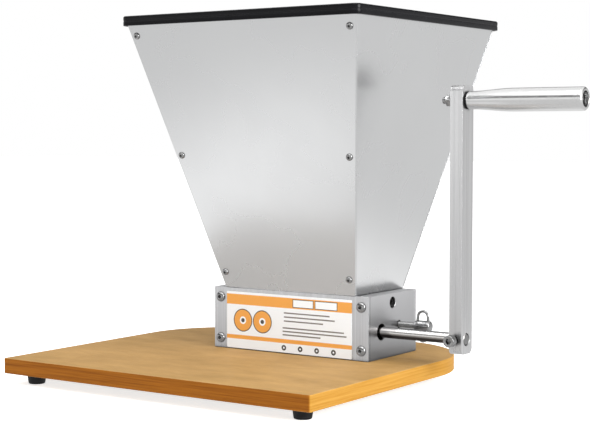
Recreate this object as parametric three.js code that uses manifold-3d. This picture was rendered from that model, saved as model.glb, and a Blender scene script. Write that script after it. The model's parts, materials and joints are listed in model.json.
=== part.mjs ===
// Two-roller grain mill: an aluminium mill body on a wooden base board, with a sheet-steel
// hopper above it, a hand crank on the right and two wing bolts that lock the roller gap.
//
// Millimetres, +X towards the crank, +Y to the back, +Z up. Everything is drawn around the middle
// of the mill body, at the height of the board's top. At the end the whole mill is moved so that
// the origin is the bottom centre of its bounding box, on the floor under the feet.

import * as THREE from 'three';
import { mergeVertices } from 'three/addons/utils/BufferGeometryUtils.js';
import Module from 'manifold-3d';

const wasm = await Module();
wasm.setup();

// Driving dimensions ---------------------------------------------------------------------------

const REST = 0.1; // space left between two parts that lie on each other
const FIT = 0.35; // radial space between a turning or screwed part and its hole
const SEAT_FIT = 0.25; // radial space between a seated part and its hole
const OVERCUT = 1; // how far a cutting tool runs past the face it cuts

const BODY = { width: 172, depth: 85, height: 58, sidePlate: 22, sideWeb: 10, coverPlate: 3 };
const BOARD = { left: -200, right: 135, front: -208, back: 94, thickness: 14 };
const BOARD_CORNERS = { front: 2, back: 90 };
const OUTLET = { halfLength: 60, halfWidth: 27, corner: 8 };
const FOOT = { topRadius: 8.8, bottomRadius: 7.6, height: 10, inset: 21, backInset: 48 };

const ROLLER = { radius: 19, length: 127, gap: 1.2, axisHeight: 24.6 };
const SHAFT = { radius: 5, holeRadius: 7.3 };
const BUSH = { radius: 8, length: 9, inset: 0.5 };
const ADJUSTER = { radius: 14, length: 11.2, inset: 0.4, boreDepth: 8.8 };
const JOURNAL = { radius: 4, length: 7.5, chamfer: 0.6 };
const ECCENTRICITY = 0.8; // offset of the idler axis below the adjuster's own axis
const WING_BOLT = { radius: 3, fromAxis: 8.6, angle: 160, shank: 27 };
const WING_HUB = { length: 16, footRadius: 4.6, radius: 5.2, endRadius: 4.2 };
const WING = { reach: 15, thickness: 2.8, tipRadius: 6.5, openingHalf: 4.4, openingTip: 3.9 };
const LOCK_SCREW = {
  radius: 4.6, holeRadius: 5, height: 49.5, length: 20, inset: 0.3, socket: 5, socketDepth: 5,
};

const SHEET = 1; // thickness of the hopper's sheet steel
const HOPPER = { bottomHalfX: 72, topHalfX: 123, topHalfY: 123, top: 301, flange: 13 };
const RIM = { halfX: 128, halfY: 128, width: 8.5, height: 9, corner: 7, sheetDepth: 3.5 };
const HOPPER_SCREW = { headRadius: 3.2, headHeight: 2.1, radius: 1.6, length: 5, inset: 6.2 };
const HOPPER_SCREW_HEIGHTS = { lower: 73, middle: 183, upper: 292 };

const ARM = { inner: 160, thickness: 12, width: 20, throw: 207.2, overhang: 12.7, corner: 5 };
const GRIP = { radius: 10, neckRadius: 7.8, length: 106.9, bore: 3.6 };
const GRIP_COUNTERBORE = { radius: 6.8, depth: 10 };
const GRIP_BOLT = { radius: 3, headRadius: 5, headHeight: 6 };

// Places that follow from them -----------------------------------------------------------------

const bodyRight = BODY.width / 2;
const bodyFront = BODY.depth / 2;
const sideInner = bodyRight - BODY.sidePlate;
const coverInner = bodyFront - BODY.coverPlate;
const rollerOffset = ROLLER.radius + ROLLER.gap / 2;
const driveAxis = { y: -rollerOffset, z: ROLLER.axisHeight };
const idlerAxis = { y: rollerOffset, z: ROLLER.axisHeight };
const adjusterAxis = { y: idlerAxis.y, z: idlerAxis.z + ECCENTRICITY };
const armOuter = ARM.inner + ARM.thickness;
const gripAxis = { y: driveAxis.y, z: driveAxis.z + ARM.throw };

const RIGHT = new THREE.Vector3(1, 0, 0);
const BACK = new THREE.Vector3(0, 1, 0);
const UP = new THREE.Vector3(0, 0, 1);
const LEFT = RIGHT.clone().negate();
const FRONT = BACK.clone().negate();
const DOWN = UP.clone().negate();

// Geometry helpers -----------------------------------------------------------------------------

function toSolid(geometry) {
  const bare = geometry.clone();
  bare.deleteAttribute('normal');
  bare.deleteAttribute('uv');
  const merged = mergeVertices(bare, 1e-4);
  const index = Array.from(merged.index.array);
  const triangles = [];
  for (let i = 0; i < index.length; i += 3) {
    const [a, b, c] = index.slice(i, i + 3);
    const hasArea = a !== b && b !== c && c !== a;
    if (hasArea) triangles.push(a, b, c);
  }
  return new wasm.Manifold(new wasm.Mesh({
    numProp: 3,
    vertProperties: merged.attributes.position.array,
    triVerts: Uint32Array.from(triangles),
  }));
}

function toGeometry(solid) {
  const { vertProperties, triVerts } = solid.getMesh();
  const geometry = new THREE.BufferGeometry();
  geometry.setAttribute('position', new THREE.BufferAttribute(vertProperties, 3));
  geometry.setIndex(new THREE.BufferAttribute(triVerts, 1));
  geometry.computeVertexNormals();
  return geometry;
}

function cut(blank, ...tools) {
  return toGeometry(tools.reduce((body, tool) => body.subtract(toSolid(tool)), toSolid(blank)));
}

function join(...parts) {
  return toGeometry(parts.map(toSolid).reduce((body, part) => body.add(part)));
}

// A round part turned about an axis. The profile is [radius, distance along the axis] pairs.
function turned(profile, at, along, segments) {
  const points = profile.map(([radius, distance]) => new THREE.Vector2(radius, distance));
  const geometry = new THREE.LatheGeometry(points, segments);
  geometry.applyQuaternion(new THREE.Quaternion().setFromUnitVectors(BACK, along));
  return geometry.translate(...at);
}

function rod(radius, length, at, along, segments = 16) {
  return turned([[0, 0], [radius, 0], [radius, length], [0, length]], at, along, segments);
}

function ring(outer, inner, length, at, along, segments = 20) {
  const profile = [[inner, 0], [outer, 0], [outer, length], [inner, length], [inner, 0]];
  return turned(profile, at, along, segments);
}

function hexRod(acrossFlats, length, at, along) {
  return rod(acrossFlats / Math.sqrt(3), length, at, along, 6);
}

// A flat shape extruded along right x up, with its own origin at the given point.
function prism(shape, depth, at, right, up, curveSegments = 3) {
  const settings = { depth, bevelEnabled: false, curveSegments };
  const geometry = new THREE.ExtrudeGeometry(shape, settings);
  const out = new THREE.Vector3().crossVectors(right, up);
  geometry.applyMatrix4(new THREE.Matrix4().makeBasis(right, up, out));
  return geometry.translate(...at);
}

function roundedRectangle(x0, y0, x1, y1, lowRadius, highRadius = lowRadius) {
  const quarter = Math.PI / 2;
  const shape = new THREE.Shape();
  shape.absarc(x0 + lowRadius, y0 + lowRadius, lowRadius, 2 * quarter, 3 * quarter);
  shape.absarc(x1 - lowRadius, y0 + lowRadius, lowRadius, 3 * quarter, 4 * quarter);
  shape.absarc(x1 - highRadius, y1 - highRadius, highRadius, 0, quarter);
  shape.absarc(x0 + highRadius, y1 - highRadius, highRadius, quarter, 2 * quarter);
  return shape;
}

function box(low, high) {
  const size = high.map((value, i) => value - low[i]);
  const middle = high.map((value, i) => (value + low[i]) / 2);
  return new THREE.BoxGeometry(...size).translate(...middle);
}

// A flat sheet whose outer face has the given corners, counterclockwise as seen from outside.
function sheet(corners, thickness) {
  const [first, second] = corners;
  const right = second.clone().sub(first).normalize();
  const normal = right.clone().cross(corners.at(-1).clone().sub(first)).normalize();
  const up = normal.clone().cross(right);
  const outline = corners.map((corner) => {
    const offset = corner.clone().sub(first);
    return new THREE.Vector2(offset.dot(right), offset.dot(up));
  });
  const at = first.clone().addScaledVector(normal, -thickness);
  return prism(new THREE.Shape(outline), thickness, at, right, up);
}

function halfTurn(geometry) {
  return geometry.clone().rotateZ(Math.PI);
}

// A screw along an axis that points out of its head. Distance 0 is the face that the head sits on.
function screw({ radius, length, headRadius, headHeight, domed, socket }, at, out, segments) {
  const chamfer = 0.6;
  const rim = domed ? headHeight * 0.35 : headHeight - chamfer;
  const crown = domed ? headRadius * 0.55 : headRadius - chamfer;
  const blank = turned([
    [0, -length],
    [radius, -length],
    [radius, REST],
    [headRadius, REST],
    [headRadius, rim],
    [crown, headHeight],
    [0, headHeight],
  ], at, out, segments);
  if (!socket) return blank;
  const depth = headHeight * 0.6;
  const mouth = new THREE.Vector3(...at).addScaledVector(out, headHeight - depth);
  return cut(blank, hexRod(socket, depth + OVERCUT, mouth, out));
}

// Materials ------------------------------------------------------------------------------------

const FINISHES = {
  board: { color: 0xd9b27a, roughness: 0.55, metalness: 0 },
  rubber: { color: 0x141414, roughness: 0.7, metalness: 0 },
  trim: { color: 0x0d0d0d, roughness: 0.25, metalness: 0 },
  bodyAluminium: { color: 0xb9b9ba, roughness: 0.35, metalness: 1 },
  armAluminium: { color: 0xc8c8c8, roughness: 0.3, metalness: 1 },
  gripSteel: { color: 0xe2e2e2, roughness: 0.12, metalness: 1 },
  hopperSteel: { color: 0xc4c5c6, roughness: 0.25, metalness: 1 },
  rollerSteel: { color: 0x8f8c88, roughness: 0.3, metalness: 1 },
  screwSteel: { color: 0xd0d0d0, roughness: 0.15, metalness: 1 },
  blackSteel: { color: 0x1c1c1e, roughness: 0.4, metalness: 1 },
  bronze: { color: 0x9a7440, roughness: 0.4, metalness: 1 },
  label: { color: 0xf4f1ea, roughness: 0.4, metalness: 0 },
};

const mill = new THREE.Group();

function addPart(name, geometry, finish) {
  const mesh = new THREE.Mesh(geometry, new THREE.MeshStandardMaterial(FINISHES[finish]));
  mesh.name = name;
  mill.add(mesh);
}

// Places for parts that come in left-right and front-back pairs.
const SIDES = [
  { side: 'left', sign: -1, out: LEFT },
  { side: 'right', sign: 1, out: RIGHT },
];
const ENDS = [
  { end: 'front', sign: -1, out: FRONT },
  { end: 'back', sign: 1, out: BACK },
];

// Base board, feet and base bolts --------------------------------------------------------------

const BASE_BOLT = { x: 70, y: 30, radius: 3, headRadius: 5.4, headHeight: 3.3, reach: 10 };
const FOOT_SCREW = { radius: 1.8, headRadius: 3.8, headHeight: 2.4, recess: 6, grip: 9 };

function baseBoltPlaces() {
  return SIDES.flatMap(({ side, sign }) => ENDS.map(({ end, sign: endSign }) => ({
    name: `base_bolt_${end}_${side}`,
    x: sign * BASE_BOLT.x,
    y: endSign * BASE_BOLT.y,
  })));
}

function footPlaces() {
  const x = { left: BOARD.left + FOOT.inset, right: BOARD.right - FOOT.inset };
  const backX = { left: BOARD.left + FOOT.backInset, right: BOARD.right - FOOT.backInset };
  const frontY = BOARD.front + FOOT.inset;
  const backY = BOARD.back - FOOT.backInset;
  return SIDES.flatMap(({ side }) => [
    { corner: `front_${side}`, x: x[side], y: frontY },
    { corner: `back_${side}`, x: backX[side], y: backY },
  ]);
}

function baseBoard() {
  const { left, right, front, back, thickness } = BOARD;
  const { front: frontRadius, back: backRadius } = BOARD_CORNERS;
  const outline = roundedRectangle(left, front, right, back, frontRadius, backRadius);
  const blank = prism(outline, thickness, [0, 0, -thickness], RIGHT, BACK, 9);
  const { halfLength, halfWidth, corner } = OUTLET;
  const slot = roundedRectangle(-halfLength, -halfWidth, halfLength, halfWidth, corner);
  const start = -thickness - OVERCUT;
  const through = thickness + 2 * OVERCUT;
  const outlet = prism(slot, through, [0, 0, start], RIGHT, BACK);
  const bolts = baseBoltPlaces().map(({ x, y }) => (
    rod(BASE_BOLT.radius + FIT, through, [x, y, start], UP, 12)));
  const pilots = footPlaces().map(({ x, y }) => (
    rod(FOOT_SCREW.radius + FIT, FOOT_SCREW.grip + 2 * OVERCUT, [x, y, start], UP, 8)));
  return cut(blank, outlet, ...bolts, ...pilots);
}

function foot(x, y) {
  const top = -BOARD.thickness - REST;
  const { topRadius, bottomRadius, height } = FOOT;
  const { recess, radius, headRadius } = FOOT_SCREW;
  const chamfer = 1;
  const wellRadius = headRadius + 2 * FIT;
  return turned([
    [radius + FIT, 0],
    [topRadius, 0],
    [bottomRadius, height - chamfer],
    [bottomRadius - chamfer, height - REST],
    [wellRadius, height - REST],
    [wellRadius, height - recess],
    [radius + FIT, height - recess],
    [radius + FIT, 0],
  ], [x, y, top], DOWN, 16);
}

function footScrew(x, y) {
  const seat = -BOARD.thickness - FOOT.height + FOOT_SCREW.recess;
  const length = FOOT.height - FOOT_SCREW.recess + FOOT_SCREW.grip;
  return screw({ ...FOOT_SCREW, length }, [x, y, seat - REST], DOWN, 8);
}

addPart('base_board', baseBoard(), 'board');
for (const { corner, x, y } of footPlaces()) {
  addPart(`foot_${corner}`, foot(x, y), 'rubber');
  addPart(`foot_screw_${corner}`, footScrew(x, y), 'screwSteel');
}
for (const { name, x, y } of baseBoltPlaces()) {
  const length = BOARD.thickness + BASE_BOLT.reach;
  const bolt = screw({ ...BASE_BOLT, length, domed: true }, [x, y, -BOARD.thickness], DOWN, 12);
  addPart(name, bolt, 'screwSteel');
}

// Mill body: two thick side plates, two cover plates and the blank label -----------------------

const PLATE_SCREW = { x: 78.5, heights: { lower: 9.5, upper: 48.5 }, radius: 2.4, length: 11 };
const PLATE_SCREW_HEAD = { headRadius: 4.75, headHeight: 2.75, domed: true, socket: 3 };
const LABEL = { left: -71, right: 69, bottom: 1, top: 54.5, thickness: 0.4 };

function wingBoltPlace(sign) {
  const angle = THREE.MathUtils.degToRad(WING_BOLT.angle);
  const y = adjusterAxis.y + WING_BOLT.fromAxis * Math.cos(angle);
  const z = adjusterAxis.z + WING_BOLT.fromAxis * Math.sin(angle);
  return [sign * (bodyRight - BODY.sideWeb + FIT), y, z];
}

function sidePlate({ sign, out }) {
  const inner = sign * sideInner;
  const through = BODY.sidePlate + 2 * OVERCUT;
  const blank = box(
    [Math.min(inner, sign * bodyRight), -coverInner + REST, REST],
    [Math.max(inner, sign * bodyRight), coverInner - REST, BODY.height],
  );
  const start = inner - sign * OVERCUT;
  const bushDepth = BUSH.length + 2 * BUSH.inset + OVERCUT;
  const drivePlace = [start, driveAxis.y, driveAxis.z];
  const bushSeat = rod(BUSH.radius + SEAT_FIT, bushDepth, drivePlace, out);
  const shaftHole = rod(SHAFT.holeRadius, through, drivePlace, out);
  const pocketDepth = BODY.sidePlate - BODY.sideWeb + OVERCUT;
  const adjusterPocket = rod(ADJUSTER.radius + SEAT_FIT, pocketDepth,
    [start, adjusterAxis.y, adjusterAxis.z], out, 24);
  const [, boltY, boltZ] = wingBoltPlace(sign);
  const boltHole = rod(WING_BOLT.radius + FIT, through, [start, boltY, boltZ], out, 12);
  const lockHole = rod(LOCK_SCREW.holeRadius, through, [start, 0, LOCK_SCREW.height], out);
  const coverHoles = ENDS.flatMap(({ sign: endSign, out: endOut }) => (
    Object.values(PLATE_SCREW.heights).map((z) => {
      const at = [sign * PLATE_SCREW.x, endSign * (bodyFront - PLATE_SCREW.length - OVERCUT), z];
      return rod(PLATE_SCREW.radius + FIT, PLATE_SCREW.length, at, endOut, 12);
    })));
  const baseHoles = ENDS.map(({ sign: endSign }) => (
    rod(BASE_BOLT.radius + FIT, BASE_BOLT.reach + 2 * OVERCUT,
      [sign * BASE_BOLT.x, endSign * BASE_BOLT.y, -OVERCUT], UP, 12)));
  return cut(blank, bushSeat, shaftHole, adjusterPocket, boltHole, lockHole,
    ...coverHoles, ...baseHoles);
}

const PLATE_CORNER = 0.8;

function coverPlate(end) {
  const outline = roundedRectangle(-bodyRight, REST, bodyRight, BODY.height, PLATE_CORNER);
  const at = [0, end.sign * coverInner, 0];
  const right = end.sign < 0 ? RIGHT : LEFT;
  const blank = prism(outline, BODY.coverPlate, at, right, UP, 1);
  const holes = SIDES.flatMap(({ sign }) => (
    Object.values(PLATE_SCREW.heights).map((z) => (
      rod(PLATE_SCREW.radius + FIT, BODY.coverPlate + 2 * OVERCUT,
        [sign * PLATE_SCREW.x, end.sign * (coverInner - OVERCUT), z], end.out, 12)))));
  return cut(blank, ...holes);
}

function labelPlate() {
  const outline = roundedRectangle(LABEL.left, LABEL.bottom, LABEL.right, LABEL.top, PLATE_CORNER);
  return prism(outline, LABEL.thickness, [0, -bodyFront - REST, 0], RIGHT, UP, 1);
}

for (const side of SIDES) {
  addPart(`side_plate_${side.side}`, sidePlate(side), 'bodyAluminium');
}
for (const end of ENDS) {
  addPart(`cover_plate_${end.end}`, coverPlate(end), 'bodyAluminium');
  for (const { side, sign } of SIDES) {
    for (const [level, z] of Object.entries(PLATE_SCREW.heights)) {
      const at = [sign * PLATE_SCREW.x, end.sign * bodyFront, z];
      const geometry = screw({ ...PLATE_SCREW, ...PLATE_SCREW_HEAD }, at, end.out, 12);
      addPart(`cover_screw_${end.end}_${level}_${side}`, geometry, 'screwSteel');
    }
  }
}
addPart('label_plate', labelPlate(), 'label');

// Rollers, bushes, and the two eccentric gap adjusters in pockets of the side plates -------------

const ROLLER_CHAMFER = 1;
const ROLLER_SEGMENTS = 32;

const SHAFT_INSET = 0.3; // how far the shaft's end lies inside the arm's outer face

// A roller with a journal or shaft at each end, turned about the X axis.
function roller(axis, journalRadius, leftEnd, rightEnd) {
  const half = ROLLER.length / 2;
  return turned([
    [0, leftEnd],
    [journalRadius - JOURNAL.chamfer, leftEnd],
    [journalRadius, leftEnd + JOURNAL.chamfer],
    [journalRadius, -half],
    [ROLLER.radius - ROLLER_CHAMFER, -half],
    [ROLLER.radius, -half + ROLLER_CHAMFER],
    [ROLLER.radius, half - ROLLER_CHAMFER],
    [ROLLER.radius - ROLLER_CHAMFER, half],
    [journalRadius, half],
    [journalRadius, rightEnd - JOURNAL.chamfer],
    [journalRadius - JOURNAL.chamfer, rightEnd],
    [0, rightEnd],
  ], [0, axis.y, axis.z], RIGHT, ROLLER_SEGMENTS);
}

// An eccentric disc that the wing bolt presses on. Turning it moves the idler roller's end.
function adjuster({ sign, out }) {
  const { radius, length, inset, boreDepth } = ADJUSTER;
  const chamfer = 0.6;
  const inner = sideInner + inset;
  const blank = turned([
    [0, 0],
    [radius - chamfer, 0],
    [radius, chamfer],
    [radius, length - chamfer],
    [radius - chamfer, length],
    [0, length],
  ], [sign * inner, adjusterAxis.y, adjusterAxis.z], out, 24);
  const bore = rod(JOURNAL.radius + FIT, boreDepth + OVERCUT,
    [sign * (inner - OVERCUT), idlerAxis.y, idlerAxis.z], out);
  return cut(blank, bore);
}

const journalEnd = sideInner + ADJUSTER.inset + JOURNAL.length;
const bushStart = sideInner + BUSH.inset;
addPart('drive_roller',
  roller(driveAxis, SHAFT.radius, -bushStart - BUSH.length, armOuter - SHAFT_INSET), 'rollerSteel');
addPart('idler_roller', roller(idlerAxis, JOURNAL.radius, -journalEnd, journalEnd), 'rollerSteel');
for (const side of SIDES) {
  const at = [side.sign * bushStart, driveAxis.y, driveAxis.z];
  const bush = ring(BUSH.radius, SHAFT.radius + FIT, BUSH.length, at, side.out);
  addPart(`shaft_bush_${side.side}`, bush, 'bronze');
  addPart(`gap_adjuster_${side.side}`, adjuster(side), 'bodyAluminium');
}

// Wing bolts and hopper lock screws ------------------------------------------------------------

// One open wing, in a plane through the bolt's axis: x along the axis, y away from it.
function wingShape() {
  const { reach, tipRadius, openingHalf, openingTip } = WING;
  const foot = { start: 1, end: WING_HUB.length - 1.5, height: 3 };
  const middle = WING_HUB.length * 0.48;
  const openingFoot = WING_HUB.radius + 0.6;
  const shape = new THREE.Shape();
  shape.moveTo(foot.start, foot.height);
  shape.lineTo(foot.end, foot.height);
  shape.absarc(middle, reach - tipRadius, tipRadius, 0, Math.PI);
  const opening = new THREE.Path();
  opening.moveTo(middle - openingHalf, openingFoot);
  opening.absarc(middle, reach - tipRadius, openingTip, Math.PI, 0, true);
  opening.lineTo(middle + openingHalf, openingFoot);
  shape.holes.push(opening);
  return shape;
}

function wingBolt({ sign, out }) {
  const { radius, shank } = WING_BOLT;
  const { length, footRadius, radius: hubRadius, endRadius } = WING_HUB;
  const [x, y, z] = wingBoltPlace(sign);
  const tipChamfer = 0.5;
  const blank = turned([
    [0, 0],
    [radius - tipChamfer, 0],
    [radius, tipChamfer],
    [radius, shank],
    [footRadius, shank],
    [hubRadius, shank + length * 0.7],
    [endRadius, shank + length * 0.93],
    [0, shank + length],
  ], [x, y, z], out, 12);
  const wings = [UP, DOWN].map((up) => {
    const across = new THREE.Vector3().crossVectors(out, up).multiplyScalar(-WING.thickness / 2);
    const at = [x + sign * shank, y + across.y, z];
    return prism(wingShape(), WING.thickness, at, out, up, 5);
  });
  return join(blank, ...wings);
}

function lockScrew({ sign, out }) {
  const { radius, length, height, inset, socket, socketDepth } = LOCK_SCREW;
  const inner = sideInner - inset;
  const blank = rod(radius, length, [sign * inner, 0, height], out);
  const mouth = [sign * (inner + length - socketDepth), 0, height];
  return cut(blank, hexRod(socket, socketDepth + OVERCUT, mouth, out));
}

for (const side of SIDES) {
  addPart(`wing_bolt_${side.side}`, wingBolt(side), 'screwSteel');
  addPart(`hopper_lock_screw_${side.side}`, lockScrew(side), 'blackSteel');
}

// Hopper ---------------------------------------------------------------------------------------

const hopperBottom = BODY.height + 3 * REST;
const hopperTop = HOPPER.top + RIM.sheetDepth;
const slopeX = (HOPPER.topHalfX - HOPPER.bottomHalfX) / (HOPPER.top - BODY.height);
const slopeY = (HOPPER.topHalfY - bodyFront) / (HOPPER.top - BODY.height);
const halfX = (z) => HOPPER.bottomHalfX + slopeX * (z - BODY.height);
const halfY = (z) => bodyFront + slopeY * (z - BODY.height);
const frontNormal = new THREE.Vector3(0, -1, -slopeY).normalize();
const sheetInY = SHEET * Math.hypot(1, slopeY); // the sheet's thickness, measured level

const TONGUE = { halfWidth: 36, bottom: 46, outer: sideInner - 0.5 };
const FLANGE_SPACE = { bottom: 4, top: 3, side: 0.3, behind: 0.2 };

function hopperScrewPlaces() {
  return Object.entries(HOPPER_SCREW_HEIGHTS).flatMap(([level, z]) => (
    SIDES.map(({ side, sign }) => ({
      name: `${level}_${side}`,
      at: [sign * (halfX(z) - HOPPER_SCREW.inset), -halfY(z), z],
    }))));
}

function hopperScrewHoles() {
  const inward = frontNormal.clone().negate();
  return hopperScrewPlaces().map(({ at }) => {
    const start = new THREE.Vector3(...at).addScaledVector(frontNormal, OVERCUT);
    return rod(HOPPER_SCREW.radius + SEAT_FIT, HOPPER_SCREW.length + OVERCUT, start, inward, 8);
  });
}

// Which edge and which height each corner of a wall has, counterclockwise from outside.
const WALL_CORNERS = [[-1, hopperBottom], [1, hopperBottom], [1, hopperTop], [-1, hopperTop]];

function frontPanel() {
  const corners = WALL_CORNERS.map(([sign, z]) => new THREE.Vector3(sign * halfX(z), -halfY(z), z));
  return cut(sheet(corners, SHEET), ...hopperScrewHoles());
}

// The right-hand wall: a web, a flange behind each of the front and back walls, and a foot with a
// tongue that drops into the mill body beside the rollers.
function rightPanel() {
  const behind = (z) => halfY(z) - sheetInY - FLANGE_SPACE.behind;
  const corners = WALL_CORNERS.map(([sign, z]) => new THREE.Vector3(halfX(z), sign * behind(z), z));
  const web = sheet(corners, SHEET);
  const low = hopperBottom + FLANGE_SPACE.bottom;
  const high = HOPPER.top - FLANGE_SPACE.top;
  const { side } = FLANGE_SPACE;
  const frontCorners = [
    [HOPPER.flange, low], [side, low], [side, high], [HOPPER.flange, high],
  ].map(([inset, z]) => new THREE.Vector3(halfX(z) - inset, -behind(z), z));
  const backCorners = frontCorners.map(({ x, y, z }) => new THREE.Vector3(x, -y, z)).reverse();
  const { halfWidth, bottom, outer } = TONGUE;
  const seatTop = hopperBottom + SHEET;
  const seatEnd = halfX(seatTop) - SHEET / 2;
  const seat = box([outer - SHEET, -halfWidth, hopperBottom], [seatEnd, halfWidth, seatTop]);
  const tongue = box([outer - SHEET, -halfWidth, bottom], [outer, halfWidth, seatTop]);
  const blank = join(web, sheet(frontCorners, SHEET), sheet(backCorners, SHEET), seat, tongue);
  const frontHoles = hopperScrewHoles();
  return cut(blank, ...frontHoles, ...frontHoles.map(halfTurn));
}

function hopperScrew(at) {
  const { radius, headRadius, headHeight, length } = HOPPER_SCREW;
  return turned([
    [0, -length],
    [radius, -length],
    [radius, REST],
    [headRadius, REST],
    [headRadius, headHeight * 0.35],
    [headRadius * 0.6, headHeight * 0.85],
    [0, headHeight],
  ], at, frontNormal, 8);
}

// The rim trim is a channel that grips the top edges of all four walls from above.
function rimTrim() {
  const { halfX: outerX, halfY: outerY, width, height, corner, sheetDepth } = RIM;
  const base = HOPPER.top;
  const mouthCorner = 1.5;
  const grooveCorner = 2;
  const grooveOutside = 1.2; // from the sheet's outer face at the trim's foot to the groove's wall
  const grooveInside = 0.5;
  const loop = (x, y, radius, depth, z) => (
    prism(roundedRectangle(-x, -y, x, y, radius), depth, [0, 0, z], RIGHT, BACK));
  const blank = loop(outerX, outerY, corner, height, base);
  const mouth = loop(
    outerX - width, outerY - width, mouthCorner, height + 2 * OVERCUT, base - OVERCUT);
  const grooveDepth = sheetDepth + 4 * REST + OVERCUT;
  const grooveOuter = loop(halfX(base) + grooveOutside, halfY(base) + 2 * grooveOutside,
    grooveCorner, grooveDepth, base - OVERCUT);
  const inner = SHEET + grooveInside;
  const grooveInner = loop(halfX(base) - inner, halfY(base) - inner,
    grooveCorner, grooveDepth + 2 * OVERCUT, base - 2 * OVERCUT);
  return cut(blank, mouth, cut(grooveOuter, grooveInner));
}

const panelFront = frontPanel();
const panelRight = rightPanel();
addPart('hopper_panel_front', panelFront, 'hopperSteel');
addPart('hopper_panel_back', halfTurn(panelFront), 'hopperSteel');
addPart('hopper_panel_right', panelRight, 'hopperSteel');
addPart('hopper_panel_left', halfTurn(panelRight), 'hopperSteel');
addPart('rim_trim', rimTrim(), 'trim');
for (const { name, at } of hopperScrewPlaces()) {
  const geometry = hopperScrew(at);
  addPart(`hopper_screw_front_${name}`, geometry, 'screwSteel');
  addPart(`hopper_screw_back_${name}`, halfTurn(geometry), 'screwSteel');
}

// Crank: arm, clamp screw, and a grip that turns freely on its bolt ----------------------------

const CLAMP_SCREW = { radius: 3, headRadius: 5.2, headHeight: 6.5, socket: 5, standOff: 4.2 };
const CLAMP_SCREW_INSET = 5; // from the arm's inner face
const WASHER = { radius: 8.5, thickness: 1.6 };
const NUT = { acrossFlats: 10, thickness: 6 };
const SPACER = { radius: 7.6, thickness: 1.2 };
const BOLT_TAIL = 12; // how far the grip bolt's end stands out behind the arm

const gripStart = armOuter + SPACER.thickness + 4 * REST;
const boltSeat = gripStart + GRIP.length - GRIP_COUNTERBORE.depth + REST;
const gripPlace = [gripAxis.y, gripAxis.z];

function crankArm() {
  const halfWidth = ARM.width / 2;
  const top = ARM.throw + ARM.overhang;
  const outline = roundedRectangle(-halfWidth, -ARM.overhang, halfWidth, top, ARM.corner);
  const blank = prism(outline, ARM.thickness, [ARM.inner, driveAxis.y, driveAxis.z], BACK, UP, 4);
  const start = ARM.inner - OVERCUT;
  const through = ARM.thickness + 2 * OVERCUT;
  const bore = SHAFT.radius + FIT;
  const shaftBore = rod(bore, through, [start, driveAxis.y, driveAxis.z], RIGHT, 20);
  const mouthDepth = 1;
  const mouth = turned([[0, 0], [bore, 0], [bore + 2 * mouthDepth, 2 * mouthDepth], [0, 2 * mouthDepth]],
    [armOuter - mouthDepth, driveAxis.y, driveAxis.z], RIGHT, 20);
  const boltHole = rod(GRIP_BOLT.radius + FIT, through, [start, ...gripPlace], RIGHT);
  const clampHole = rod(CLAMP_SCREW.radius + FIT, halfWidth + OVERCUT,
    [ARM.inner + CLAMP_SCREW_INSET, driveAxis.y, driveAxis.z], FRONT);
  return cut(blank, shaftBore, mouth, boltHole, clampHole);
}

function clampScrew() {
  const tip = driveAxis.y - SHAFT.radius - FIT;
  const seat = driveAxis.y - ARM.width / 2 - CLAMP_SCREW.standOff;
  const at = [ARM.inner + CLAMP_SCREW_INSET, seat, driveAxis.z];
  return screw({ ...CLAMP_SCREW, length: tip - seat }, at, FRONT, 16);
}

// The grip is narrow at the arm, swells to its full radius over a third of its length, and has a
// rounded end with a counterbore for the bolt's head.
function grip() {
  const { radius, neckRadius, length, bore } = GRIP;
  const counterboreFace = length - GRIP_COUNTERBORE.depth;
  const neckChamfer = 0.6;
  return turned([
    [bore, 0],
    [neckRadius - neckChamfer, 0],
    [neckRadius, neckChamfer],
    [neckRadius + 0.9, length * 0.12],
    [radius - 0.3, length * 0.25],
    [radius, length * 0.36],
    [radius, length - 2.5],
    [radius - 0.8, length - 0.8],
    [radius - 2.4, length],
    [GRIP_COUNTERBORE.radius, length],
    [GRIP_COUNTERBORE.radius, counterboreFace],
    [bore, counterboreFace],
    [bore, 0],
  ], [gripStart, ...gripPlace], RIGHT, 24);
}

function gripBolt() {
  const length = boltSeat - ARM.inner + BOLT_TAIL;
  return screw({ ...GRIP_BOLT, length, socket: 5 }, [boltSeat, ...gripPlace], RIGHT, 16);
}

function gripNut() {
  const face = ARM.inner - WASHER.thickness - 2 * REST;
  const blank = hexRod(NUT.acrossFlats, NUT.thickness, [face, ...gripPlace], LEFT);
  const hole = rod(GRIP_BOLT.radius + FIT, NUT.thickness + 2 * OVERCUT,
    [face + OVERCUT, ...gripPlace], LEFT);
  return cut(blank, hole);
}

const spacer = ring(SPACER.radius, GRIP.bore, SPACER.thickness, [armOuter + REST, ...gripPlace], RIGHT);
const washer = ring(WASHER.radius, GRIP_BOLT.radius + FIT, WASHER.thickness,
  [ARM.inner - REST, ...gripPlace], LEFT);
addPart('crank_arm', crankArm(), 'armAluminium');
addPart('crank_clamp_screw', clampScrew(), 'screwSteel');
addPart('crank_grip', grip(), 'gripSteel');
addPart('grip_bolt', gripBolt(), 'screwSteel');
addPart('grip_spacer', spacer, 'rubber');
addPart('grip_washer', washer, 'screwSteel');
addPart('grip_nut', gripNut(), 'screwSteel');

// Stand the mill on its feet, with the origin at the bottom centre of its bounding box ---------

const bounds = new THREE.Box3().setFromObject(mill);
const centre = bounds.getCenter(new THREE.Vector3());
mill.position.set(-centre.x, -centre.y, -bounds.min.z);

export default mill;
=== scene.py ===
import json
import math

import bpy
from mathutils import Matrix, Vector


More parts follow.
